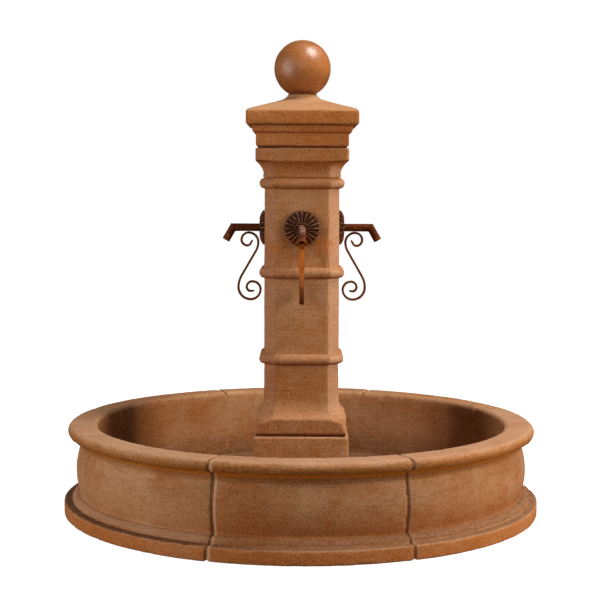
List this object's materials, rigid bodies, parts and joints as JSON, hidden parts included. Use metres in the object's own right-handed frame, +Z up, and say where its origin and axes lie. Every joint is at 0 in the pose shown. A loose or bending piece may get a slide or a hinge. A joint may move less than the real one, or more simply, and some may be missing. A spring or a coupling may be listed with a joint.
{
  "type": "courtyard pool fountain",
  "caption": "Round cast-stone pool with a square pedestal column, mitred iron spouts over S-scrolls, a moulded cap and a ball finial.",
  "frame": {"origin": "middle of the pool's base, on the ground", "axes": "+Z up along the column, the front spout faces -Y, +X to the right seen from the front"},
  "size_m": [1.6268, 1.6268, 1.6065],
  "materials": {
    "terracotta_stone": "weathered terracotta-toned cast stone",
    "pool_floor_stone": "damp cast stone",
    "joint_mortar": "dark recessed mortar",
    "rusty_iron": "rusted wrought iron",
    "brass": "dull brass",
    "steel": "plain steel",
    "rubber": "black rubber",
    "sealant": "brown sealant",
    "pump_plastic": "matt black plastic",
    "pvc": "pale plastic"
  },
  "bodies": {
    "fountain": {"pool_segment_1": "terracotta_stone", "pool_segment_2": "terracotta_stone", "pool_segment_3": "terracotta_stone", "pool_segment_4": "terracotta_stone", "pool_segment_5": "terracotta_stone", "pool_segment_6": "terracotta_stone", "pool_segment_7": "terracotta_stone", "pool_segment_8": "terracotta_stone", "joint_mortar_1": "joint_mortar", "joint_mortar_2": "joint_mortar", "joint_mortar_3": "joint_mortar", "joint_mortar_4": "joint_mortar", "joint_mortar_5": "joint_mortar", "joint_mortar_6": "joint_mortar", "joint_mortar_7": "joint_mortar", "joint_mortar_8": "joint_mortar", "pool_floor": "pool_floor_stone", "floor_seal": "sealant", "drain_body": "brass", "drain_nut": "brass", "cable_conduit": "pvc", "pedestal_block": "terracotta_stone", "pedestal_bedding": "joint_mortar", "column_shaft": "terracotta_stone", "cap_gasket": "joint_mortar", "spout_pipe_front": "rusty_iron", "spout_pipe_right": "rusty_iron", "spout_pipe_back": "rusty_iron", "spout_pipe_left": "rusty_iron", "spout_rosette_front": "rusty_iron", "spout_rosette_right": "rusty_iron", "spout_rosette_back": "rusty_iron", "spout_rosette_left": "rusty_iron", "spout_scroll_front": "rusty_iron", "spout_scroll_right": "rusty_iron", "spout_scroll_back": "rusty_iron", "spout_scroll_left": "rusty_iron", "spout_locknut_front": "steel", "spout_locknut_right": "steel", "spout_locknut_back": "steel", "spout_locknut_left": "steel", "feed_coupling_front": "rubber", "feed_coupling_right": "rubber", "feed_coupling_back": "rubber", "feed_coupling_left": "rubber", "manifold": "brass", "riser_hose": "rubber", "pump_body": "pump_plastic", "pump_cable_gland": "rubber", "pump_foot_1": "rubber", "pump_foot_2": "rubber", "pump_foot_3": "rubber", "pump_foot_4": "rubber"},
    "cap": {"column_cap": "terracotta_stone", "finial_dowel": "steel", "finial_ball": "terracotta_stone"},
    "plug": {"drain_plug": "rubber"},
    "pump_cover": {"pump_cover": "pump_plastic"},
    "flow_dial": {"pump_flow_dial": "pvc"},
    "impeller": {"pump_impeller": "pvc"}
  },
  "joints": [
    {"name": "cap_lift", "type": "slide", "parent": "fountain", "child": "cap", "axis": [0, 0, 1], "range_m": [0, 0.25]},
    {"name": "plug_pull", "type": "slide", "parent": "fountain", "child": "plug", "axis": [0, 0, 1], "range_m": [0, 0.08]},
    {"name": "cover_pull", "type": "slide", "parent": "fountain", "child": "pump_cover", "axis": [0, -1, 0], "range_m": [0, 0.06]},
    {"name": "flow_dial_turn", "type": "hinge", "parent": "pump_cover", "child": "flow_dial", "pos_m": [0, -0.0336, 0.1148], "axis": [0, -1, 0], "range_deg": [0, 90]},
    {"name": "impeller_spin", "type": "hinge", "parent": "fountain", "child": "impeller", "pos_m": [0, 0, 0.1148], "axis": [0, 1, 0], "continuous": true}
  ]
}
